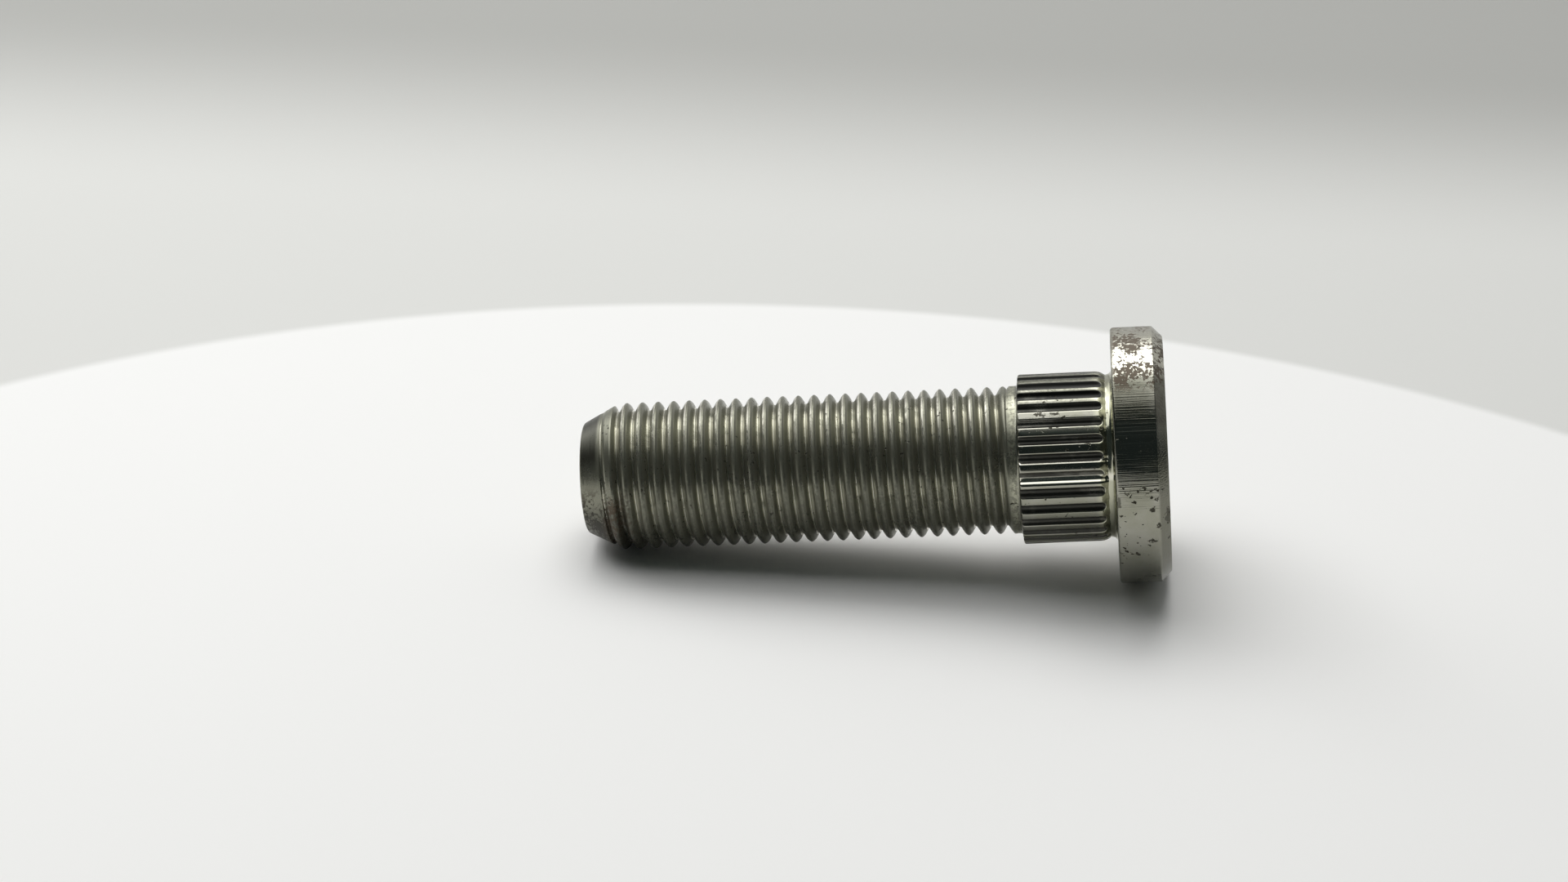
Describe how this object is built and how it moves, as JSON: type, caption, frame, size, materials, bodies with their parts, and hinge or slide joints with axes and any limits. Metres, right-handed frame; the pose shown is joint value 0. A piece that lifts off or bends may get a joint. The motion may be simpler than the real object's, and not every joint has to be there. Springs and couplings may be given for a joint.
{
  "type": "wheel stud",
  "caption": "Press-in wheel stud with a round recessed head, a serrated collar and a right-hand metric thread with a plain lead cone, for clamping a road wheel to its hub.",
  "frame": {"origin": "centre of the seat, the underside of the head that is drawn against the back of the hub", "axes": "+Z along the stud's axis, from the seat towards the thread's tip; the stud stands on the end face of its head; X and Y are free, with a serration groove centred on the front, -Y"},
  "size_m": [0.0242, 0.0242, 0.0554],
  "materials": {
    "zinc_steel": "dull grey-olive zinc plate on steel, worn bright on the crests, with brown stains and small pits"
  },
  "bodies": {
    "root": {"wheel_stud": "zinc_steel"}
  },
  "joints": []
}
